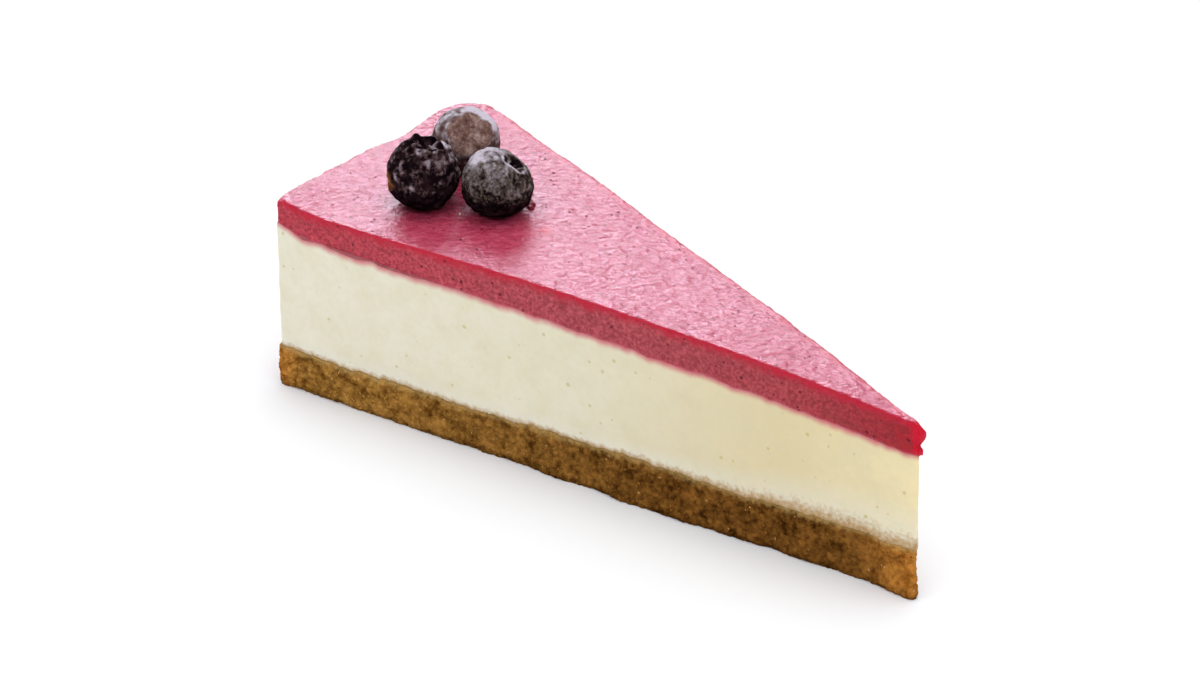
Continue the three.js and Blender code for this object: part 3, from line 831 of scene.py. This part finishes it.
def build_grains(material):
    """Loose bits of crumb that cling to the walls of the base."""
    shape = bmesh.new()
    layers = attribute_layers(shape, CRUMB_VALUES)
    for _ in range(GRAIN_COUNT):
        share = random.random()
        x, y = point_on(BASE_SIDES, share)
        top = biscuit_height(x, y)
        z = top * random.random() ** 0.85 + random.uniform(-0.1, 0.35)
        point = base_wall(share, z)[0]
        size = 0.28 + 0.6 * random.random() ** 2.5
        sunk = point - outward_direction(x, y).to_3d() * size * 0.25
        sunk.z = max(sunk.z, size * 0.55)
        angle = random.uniform(0, math.tau)
        axis = Vector((random.random(), random.random(), 1))
        squash = Matrix.Diagonal((1, random.uniform(0.6, 1), random.uniform(0.5, 0.9), 1))
        placed = Matrix.Translation(sunk) @ Matrix.Rotation(angle, 4, axis) @ squash
        made = bmesh.ops.create_icosphere(shape, subdivisions=1, radius=size / 2, matrix=placed)
        own_tone = random.choice(GRAIN_TONES)
        if size > FLOURY_SIZE and random.random() < FLOURY_SHARE:
            own_tone = FLOURY_TONE
        for vertex in made["verts"]:
            vertex.co += noise.random_unit_vector() * size * 0.09
            vertex[layers["grain_tone"]] = own_tone
            vertex[layers["crevice_shade"]] = 0
            vertex[layers["baked"]] = baked_share(x, z)
            vertex[layers["creamy"]] = max(0, top - z) + 0.25
    return finished("crumb_grains", shape, material)


# Cheese filling

CREAM_CELL = 0.4
CREAM_RINGS = 60

# Relief of the cut: a broad sway, the drag of the knife, and how it leans at the tip
CREAM_PITCH = 18
CREAM_RELIEF = 0.35
DRAG_MARKS = [(0.1, 3.5), (0.04, 1.2)]
CREAM_TIP_REACH = 0.35

# The foot of the filling sinks into the crumb, blends into its seam and tucks in under it
CREAM_SINK = 0.35
CREAM_SEAM_HEIGHT = 0.7
CREAM_SEAM_DEPTH = 0.02
CREAM_TUCK = 0.4

# Crumb is dragged up over the foot, and higher towards the tip: the heights count this much
CLEAN_CUT = 1.4
DRAGGED_CRUMB = 0.5


def build_filling(material):
    columns = round(outline_length(CREAM_SIDES) / CREAM_CELL)
    shape = wall_block(columns, CREAM_RINGS)
    layers = attribute_layers(shape, CREAM_VALUES)
    for vertex in shape.verts:
        x, y = point_on(CREAM_SIDES, share_round(vertex))
        inward, angle = slice_place(x, y)
        low = biscuit_height(x, y)
        high = cream_height(x, y)
        level = vertex.co.z
        z = lerp(low - CREAM_SINK, high, level)
        sway = CREAM_RELIEF * grain(x, y, z, CREAM_PITCH) + relief(DRAG_MARKS, x, y, z)
        lean = lerp(CREAM_TIP_REACH, -CREAM_TIP_REACH, level) * near_tip(x)
        push = sway + near_rim(inward) * rim_bulge(angle) + lean
        near_seam = clamp(1 - (z - low) / CREAM_SEAM_HEIGHT)
        push = lerp(push, seam_push(x, y) - CREAM_SEAM_DEPTH, near_seam)
        push -= CREAM_TUCK * max(0, low - z) / CREAM_SINK
        vertex.co = pushed_out(x, y, z, push)
        vertex[layers["under_mousse"]] = high - z
        vertex[layers["over_crumb"]] = (z - low) * lerp(CLEAN_CUT, DRAGGED_CRUMB, smoothstep(x, 0, 55))
    return finished("cheese_layer", shape, material, "cheese_filling")


# Fruit mousse

# Outline: the rim and the tip from the apex, the tip's width and how it flares out of the wedge
MOUSSE_RIM = 140.7
MOUSSE_TIP = 0.9
MOUSSE_TIP_WIDTH = 0.9
MOUSSE_TIP_FLARE = 4

# Rounding of the upper edge along each side, the share of a narrow half that it may pull in, and
# how far in from the tip and the rim their rounding reaches
MOUSSE_CUT_ROUNDING = 0.5
MOUSSE_FAR_ROUNDING = 1.1
MOUSSE_RIM_ROUNDING = 1.2
MOUSSE_TIP_ROUNDING = 1.9
MOUSSE_NARROW_PULL = 0.4
MOUSSE_TIP_BLEND = 3
MOUSSE_RIM_BLEND = 6

# Corners at the rim: share across at which the rim turns, and how far the corner is cut back. The
# far cut also tapers in a little towards the rim.
NEAR_CORNER = (0.84, 0.75)
FAR_CORNER = (0.64, 3.4)
CORNER_REACH = 6
FAR_TAPER = 0.9
FAR_TAPER_LENGTH = 11

# Mesh: cells along and across the top, rings round the soft edge in degrees, rings down the wall
MOUSSE_LENGTHWISE = 400
MOUSSE_CROSSWISE = 150
MOUSSE_TURNS = [90, 72, 54, 36, 18, 0]
MOUSSE_WALL_RINGS = 16

# Relief: swells of (depth, pitch), and fine bumps, which are deepest on top
MOUSSE_SWELLS = [(0.14, 5.5), (0.13, 2.1)]
MOUSSE_FINE_PITCH = 0.85
WALL_FINE = 0.04
TOP_FINE = 0.13

# Gap between a berry and the cup that it sits in
CUP_GAP = 0.1

# Rolls of the glaze down the tip: (depth, level up the wall, spread)
TIP_ROLLS = [(0.6, 0.64, 0.2), (-0.5, 0.33, 0.1), (0.1, 0.14, 0.08)]

# Juice round a berry: (strength, from, to) of the pool under it, which is also painted contact shade, and
# of the stain round that
JUICE_POOL_AND_SHADE = (0.9, 3.4, 4.8)
JUICE_STAIN = (0.3, 4, 10)

# Red glaze: a smear on top and the drip down the tip; and a faint red band of painted shade along the far
# cut, where the sheen falls off its rounded edge
SMEAR_AT = (-21.8, -1.1)
SMEAR_WIDTH = 1.6
SMEAR_STRENGTH = 0.6
DRIP_FROM = 67.4
DRIP_TO = 69.8
FAR_SHADE_STRENGTH = 0.35
FAR_SHADE_BAND = (0.8, 2.4)


def mousse_point(along, side, turn, level):
    """Place on the mousse: share of the way to the tip, side from -1 to 1, turn round the soft edge."""
    angle = side * math.degrees(HALF_ANGLE)
    rim = MOUSSE_RIM + rim_bulge(angle)
    radius = lerp(rim, MOUSSE_TIP, along)
    rim_share = 1 - smoothstep(rim - radius, 0, MOUSSE_RIM_BLEND)
    tip_share = 1 - smoothstep(radius - MOUSSE_TIP, 0, MOUSSE_TIP_BLEND)
    rounding = lerp(MOUSSE_CUT_ROUNDING, MOUSSE_FAR_ROUNDING, max(0, side))
    rounding = lerp(rounding, MOUSSE_RIM_ROUNDING, rim_share)
    rounding = lerp(rounding, MOUSSE_TIP_ROUNDING, tip_share)
    pull = rounding * (1 - math.cos(turn))
    drop = rounding * (1 - math.sin(turn))

    taper = FAR_TAPER * (1 - smoothstep(rim - radius, 0, FAR_TAPER_LENGTH)) if side > 0 else 0
    blunt = MOUSSE_TIP_WIDTH / 2 * math.exp(-radius / MOUSSE_TIP_FLARE)
    half_width = radius * math.sin(HALF_ANGLE) + blunt - taper
    across = side * (half_width - min(pull, half_width * MOUSSE_NARROW_PULL))
    corner_from, corner_cut = FAR_CORNER if side > 0 else NEAR_CORNER
    past = max(0, (abs(side) - corner_from) / (1 - corner_from))
    cut = corner_cut * (1 - math.sqrt(max(0, 1 - past * past)))
    corner_share = 1 - smoothstep(rim - radius, 0, CORNER_REACH)
    reach = radius - pull * rim_share - cut * corner_share + pull * tip_share
    turned = math.asin(clamp(across / radius, -1, 1))
    x = APEX_X - reach * math.cos(turned)
    y = across

    low = cream_height(x, y)
    high = top_height(x, y)
    z = high - drop if level is None else lerp(low, high - rounding, level)
    return x, y, z, low, high, tip_share


def cup_height(x, y):
    """Greatest height that the berries leave for the mousse at a place."""
    height = math.inf
    for at, width, tall, _, _, _ in BERRIES.values():
        reach = math.hypot(x - at[0], y - at[1]) / (width / 2 + CUP_GAP)
        if reach < 1:
            height = min(height, at[2] - (tall / 2 + CUP_GAP) * math.sqrt(1 - reach * reach))
    return height


def juice_and_shade_share(x, y):
    """Berry juice soaked into the mousse round the foot of each berry, with painted contact shade in the
    pool under it.
    """
    soaked = 0
    for at, _, _, _, _, _ in BERRIES.values():
        away = math.hypot(x - at[0], y - at[1]) + 0.8 * grain(x, y, 2, 2.4)
        for strength, start, end in (JUICE_POOL_AND_SHADE, JUICE_STAIN):
            soaked = max(soaked, strength * (1 - smoothstep(away, start, end)))
    return soaked


def glaze_and_edge_shade_share(x, y, z):
    """Red glaze of the smear and of the drip at the tip, and painted shade in a red band along the far cut.
    """
    smear = SMEAR_STRENGTH * bump(math.hypot(x - SMEAR_AT[0], y - SMEAR_AT[1]), 0, SMEAR_WIDTH)
    tip_drip = smoothstep(x + 0.9 * grain(x, y, z, 1.6), DRIP_FROM, DRIP_TO)
    from_far_cut = -Vector((x - APEX_X, y)).dot(FAR_NORMAL) + 1.2 * grain(x, y, z, 1.8)
    return max(tip_drip, smear, FAR_SHADE_STRENGTH * (1 - smoothstep(from_far_cut, *FAR_SHADE_BAND)))


def tip_lip(level):
    """The glaze bulges at the tip, with a notch and a small second roll under it."""
    return sum(depth * bump(level, middle, spread) for depth, middle, spread in TIP_ROLLS)


def build_mousse(material):
    shape = bmesh.new()
    bmesh.ops.create_grid(shape, x_segments=MOUSSE_LENGTHWISE, y_segments=MOUSSE_CROSSWISE, size=1)
    loop = [edge for edge in shape.edges if edge.is_boundary]
    last_turn = len(MOUSSE_TURNS) - 1
    for _ in range(last_turn + MOUSSE_WALL_RINGS):
        loop = raised_ring(shape, loop, -1)
    capped(shape, loop)
    layers = attribute_layers(shape, MOUSSE_VALUES)
    for vertex in shape.verts:
        ring = round(-vertex.co.z)
        in_wall = ring - last_turn
        turn = math.radians(MOUSSE_TURNS[min(ring, last_turn)])
        level = None if in_wall <= 0 else 1 - in_wall / MOUSSE_WALL_RINGS
        along = (vertex.co.x + 1) / 2
        x, y, z, low, high, tip_share = mousse_point(along, clamp(vertex.co.y, -1, 1), turn, level)
        fine = lerp(WALL_FINE, TOP_FINE, math.sin(turn)) * grain(x, y, z, MOUSSE_FINE_PITCH)
        push = relief(MOUSSE_SWELLS, x, y, z) + fine
        side_push = (push + tip_share * tip_lip((z - low) / (high - low))) * math.cos(turn)
        vertex.co = pushed_out(x, y, z + push * math.sin(turn), side_push)
        if in_wall <= 0:
            vertex.co.z = min(vertex.co.z, cup_height(x, y))
        vertex[layers["under_skin"]] = max(0, high - z)
        vertex[layers["over_cream"]] = z - low
        vertex[layers["juice_and_shade"]] = juice_and_shade_share(x, y) if in_wall <= 0 else 0
        vertex[layers["glaze_and_edge_shade"]] = glaze_and_edge_shade_share(x, y, z)
    return finished("mousse_layer", shape, material, "fruit_mousse")


# Blueberries

BERRY_COLUMNS = 160
BERRY_ROWS = 120
BERRY_CROWDING = 1.3

# Crown: its lobes, how far they swing its edge, how deep it sinks in shares of its depth, the share
# of it that is floor, and in radians the width of its lip and the spread of a pressed-in side
CROWN_LOBES = 5
CROWN_SWING = 0.04
CROWN_SINK = 1.5
CROWN_FLOOR = 0.35
CROWN_LIP_WIDTH = 0.13
FLATTENING_SPREAD = 0.65

# Look of each berry. Frost is given at the foot, at the waist and on top, with how patchy it is; its
# thinner foot and thicker top are partly painted shade and light. The lip frost is what the lip of the
# crown has more, partly a painted highlight; within is the frost inside it, and rosy turns thin frost
# from grey to pink. Wrinkles is how deep the skin folds, and flesh how brown and rough the crown's face
# is. Sag is how far the foot bulges, and flattening how far the crown's side is pressed in, in
# millimetres. Nub_turn is where round the crown its first lobe lies, in degrees; nub is how far that
# one stands up and lobes how far all do, in millimetres. The bare spot, by its strength bare, is where
# thin skin shows orange, and the rimed side, by the strength of its rime, where white frost is
# thickest, partly a painted highlight on the upper edge; both are directions from the berry's middle.
BERRY_LOOKS = {
    "blueberry_left": {
        "frost_and_painted_light": (-0.9, 0.05, 0.15), "patchy": 0.6, "lip_frost_and_painted_highlight": 0.4, "within": -0.2, "rosy": 0.9,
        "wrinkles": 0.6, "flesh": 0.0, "sag": 0.3, "flattening": 0.0,
        "nub_turn": 280, "nub": 0.7, "lobes": 0.2, "bare_spot": (-0.56, -0.82, -0.11), "bare": 0.8,
        "rime_and_highlight_side": (0.3, 0.76, 0.57), "rime_and_painted_highlight": 0.7,
    },
    "blueberry_right": {
        "frost_and_painted_light": (-0.8, 0.3, 0.5), "patchy": 0.25, "lip_frost_and_painted_highlight": 0.8, "within": -0.15, "rosy": 0.1,
        "wrinkles": 0.25, "flesh": 0.0, "sag": 0.7, "flattening": 2.0,
        "nub_turn": 230, "nub": 0.0, "lobes": 0.05, "bare_spot": (0, 0, -1), "bare": 0.0,
        "rime_and_highlight_side": (-0.6, -0.1, 0.8), "rime_and_painted_highlight": 0.9,
    },
    "blueberry_back": {
        "frost_and_painted_light": (-0.5, 0.2, 0.9), "patchy": 0.6, "lip_frost_and_painted_highlight": 0.6, "within": -0.3, "rosy": 0.6,
        "wrinkles": 0.25, "flesh": 1.0, "sag": 0.2, "flattening": 0.0,
        "nub_turn": 210, "nub": 0.0, "lobes": 0.04, "bare_spot": (0, 0, -1), "bare": 0.0,
        "rime_and_highlight_side": (0.35, 0.55, 0.75), "rime_and_painted_highlight": 1.3,
    },
}


def crease(spot, pitch):
    """Narrow folds of a shrunken skin: 1 along the fold, 0 between."""
    return max(0, 1 - abs(noise.noise(spot / pitch)) * 3) ** 2


def outer_frost(look, out, spot, fold, wrinkle):
    """Frost on the skin outside the crown, rubbed off in the folds; its paler top, darker foot and white
    rimed side are partly painted light and shade.
    """
    at_foot, at_waist, on_top = look["frost_and_painted_light"]
    # Partly painted shade and light: frost thinner at the foot and thicker on top
    frost_and_painted_light = lerp(at_foot, at_waist, smoothstep(out.z, -0.8, 0.15))
    frost_and_painted_light = lerp(frost_and_painted_light, on_top, smoothstep(out.z, 0.1, 0.8))
    patches = noise.noise(spot / 2.3) + noise.noise(spot / 1.0)
    frost_and_painted_light += look["patchy"] * patches - 0.12 * fold + wrinkle
    # Partly a painted highlight: thick white frost on the rimed upper edge
    towards_rime_and_highlight = out.dot(Vector(look["rime_and_highlight_side"]).normalized()) + 0.3 * noise.noise(spot / 1.9)
    return frost_and_painted_light + look["rime_and_painted_highlight"] * smoothstep(towards_rime_and_highlight, 0.68, 1.0)


def crown_frost(look, spot, turn):
    """Frost inside the crown, in streaks that run from its middle."""
    streak = noise.noise(Vector((math.cos(turn), math.sin(turn), 0)) * 2.4)
    return look["within"] + lerp(1.8, 0.8, look["flesh"]) * noise.noise(spot / 1.5) + 0.6 * streak


def build_berry(name, material):
    at, width, tall, towards, crown_width, crown_depth = BERRIES[name]
    look = BERRY_LOOKS[name]
    radius = width / 2
    crown_turn = math.asin(crown_width / width)
    to_crown = Vector((0, 1, 0)).rotation_difference(Vector(towards).normalized())
    bare_spot = Vector(look["bare_spot"]).normalized()
    shape = bmesh.new()
    bmesh.ops.create_uvsphere(shape, u_segments=BERRY_COLUMNS, v_segments=BERRY_ROWS, radius=1)
    layers = attribute_layers(shape, SKIN_VALUES)
    for vertex in shape.verts:
        share = math.acos(clamp(vertex.co.z, -1, 1)) / math.pi
        polar = math.pi * share ** BERRY_CROWDING
        turn = math.atan2(vertex.co.y, vertex.co.x)
        sideways = math.sin(polar)
        out = Vector((sideways * math.sin(turn), math.cos(polar), sideways * math.cos(turn)))
        out.rotate(to_crown)
        spot = Vector(at) + out * radius

        past_nub = turn - math.radians(look["nub_turn"])
        lobe = 0.5 + 0.5 * math.cos(CROWN_LOBES * past_nub)
        lip = crown_turn * (1 + CROWN_SWING * (2 * lobe - 1) + 0.12 * noise.noise(spot / 2.6))
        hollow = CROWN_SINK * crown_depth * (1 - smoothstep(polar, lip * CROWN_FLOOR, lip))
        stand = look["nub"] * max(0, math.cos(past_nub)) ** 24
        raised = (0.06 + look["lobes"] * lobe * lobe + stand) * bump(polar, lip, CROWN_LIP_WIDTH)
        fold = crease(spot, 3.1)
        wrinkle = 0.2 * noise.noise(spot / 3.4) + 0.6 * look["wrinkles"] * noise.noise(spot / 1.5)
        wrinkle += 0.15 * noise.noise(spot / 0.7) - 0.4 * look["wrinkles"] * fold
        flat = look["flattening"] * bump(polar, 0, FLATTENING_SPREAD)
        place = out * (radius - hollow + raised + wrinkle - flat)
        sag = look["sag"] * bump(out.z, -0.6, 0.4)
        place += Vector((out.x, out.y, 0)) * sag
        place.z *= tall / width
        vertex.co = Vector(at) + place

        edge = polar + 0.06 * noise.noise(spot / 1.6)
        inside = 1 - smoothstep(edge, lip * 0.85, lip * lerp(1, 1.2, look["flesh"]))
        # Partly a painted highlight: more frost on the crown's lip, most on one side
        on_lip = bump(polar, lip * 1.02, 0.06) * (0.55 - 0.45 * math.cos(past_nub))
        frost_and_painted_light = lerp(outer_frost(look, out, spot, fold, wrinkle), crown_frost(look, spot, turn), inside)
        facing = out.dot(bare_spot) + 0.04 * noise.noise(spot / 1.2)
        vertex[layers["frost_and_painted_light"]] = frost_and_painted_light + look["lip_frost_and_painted_highlight"] * on_lip
        vertex[layers["crown_flesh"]] = look["flesh"] * lerp(0.3, 1, inside)
        vertex[layers["blush"]] = look["bare"] * smoothstep(facing, 0.9, 1.0)
        vertex[layers["rosy"]] = look["rosy"]
    return finished(name + "_skin", shape, material, name)


# Loose bits

# Pale crumbs of filling that fell between the berries: place and width, and values for the material
PALE_CRUMBS = [((-48.2, 3.2, 42.0), 0.8), ((-37.6, -7.7, 40.95), 0.5)]
PALE_LOOK = {"under_mousse": 0.7, "over_crumb": 9}

# Torn skin squeezed out from under the right berry: place and width, and values for the material
PULP_BITS = [((-30.6, 4.1, 41.0), 1.7), ((-29.6, 3.1, 40.9), 1.2), ((-31.4, 5.0, 40.9), 1.1)]
PULP_LOOK = {"under_skin": 3, "over_cream": 3, "juice_and_shade": 0.6, "glaze_and_edge_shade": 0.3}


def build_bits(name, bits, look, material):
    """Small irregular lumps, each with the same values for its material."""
    shape = bmesh.new()
    layers = attribute_layers(shape, look)
    for at, width in bits:
        made = bmesh.ops.create_icosphere(
            shape, subdivisions=3, radius=width / 2, matrix=Matrix.Translation(at)
        )
        for vertex in made["verts"]:
            out = (vertex.co - Vector(at)).normalized()
            lump = 0.25 * noise.noise(vertex.co / 0.5) + 0.1 * noise.noise(vertex.co / 0.2)
            vertex.co += out * width * lump
            for value in look:
                vertex[layers[value]] = look[value]
    return finished(name, shape, material)


# Table and light

def add_table():
    """A plain pale floor, far wider than the camera sees."""
    shape = bmesh.new()
    bmesh.ops.create_grid(shape, x_segments=1, y_segments=1, size=4)
    mesh = bpy.data.meshes.new("table")
    shape.to_mesh(mesh)
    shape.free()
    mesh.materials.append(table_top())
    table = bpy.data.objects.new("table", mesh)
    bpy.context.scene.collection.objects.link(table)


def add_softbox(name, turn, elevation, distance, size, radiance, tint, sheen_only=False):
    """A softbox that faces the slice; the turn is in degrees from +X towards +Y."""
    data = bpy.data.lights.new(name, "AREA")
    data.shape = "RECTANGLE"
    data.size, data.size_y = size
    data.energy = radiance * math.pi * size[0] * size[1]
    data.color = linear(tint)[:3]
    lamp = bpy.data.objects.new(name, data)
    turn, elevation = math.radians(turn), math.radians(elevation)
    away = Vector((
        math.cos(turn) * math.cos(elevation),
        math.sin(turn) * math.cos(elevation),
        math.sin(elevation),
    ))
    lamp.location = away * distance
    lamp.rotation_euler = away.to_track_quat("Z", "Y").to_euler()
    lamp.visible_camera = False
    lamp.visible_diffuse = not sheen_only
    bpy.context.scene.collection.objects.link(lamp)


def add_sky():
    """Soft white light from all round, as in a white tent."""
    world = bpy.data.worlds.new("white_tent")
    world.use_nodes = True
    background = world.node_tree.nodes["Background"]
    background.inputs["Color"].default_value = (1, 1, 1, 1)
    background.inputs["Strength"].default_value = 1.0
    bpy.context.scene.world = world


random.seed(SEED)
noise.seed_set(SEED)

crumb = biscuit_crumb()
build_base(crumb)
build_grains(crumb)
cheese = cheese_filling()
build_filling(cheese)
mousse = fruit_mousse()
build_mousse(mousse)
build_bits("loose_crumbs", PALE_CRUMBS, PALE_LOOK, cheese)
build_bits("squeezed_pulp", PULP_BITS, PULP_LOOK, mousse)
skin = berry_skin()
for berry in BERRIES:
    build_berry(berry, skin)

add_table()
add_sky()
add_softbox("window_behind", 145, 33, 1.5, (1.1, 0.5), 70, "#F2ECFF", sheen_only=True)
add_softbox("panel_overhead", 0, 89, 1.5, (1.5, 1.5), 0.8, "#FFFFFF")
bpy.context.scene.view_settings.view_transform = "Standard"
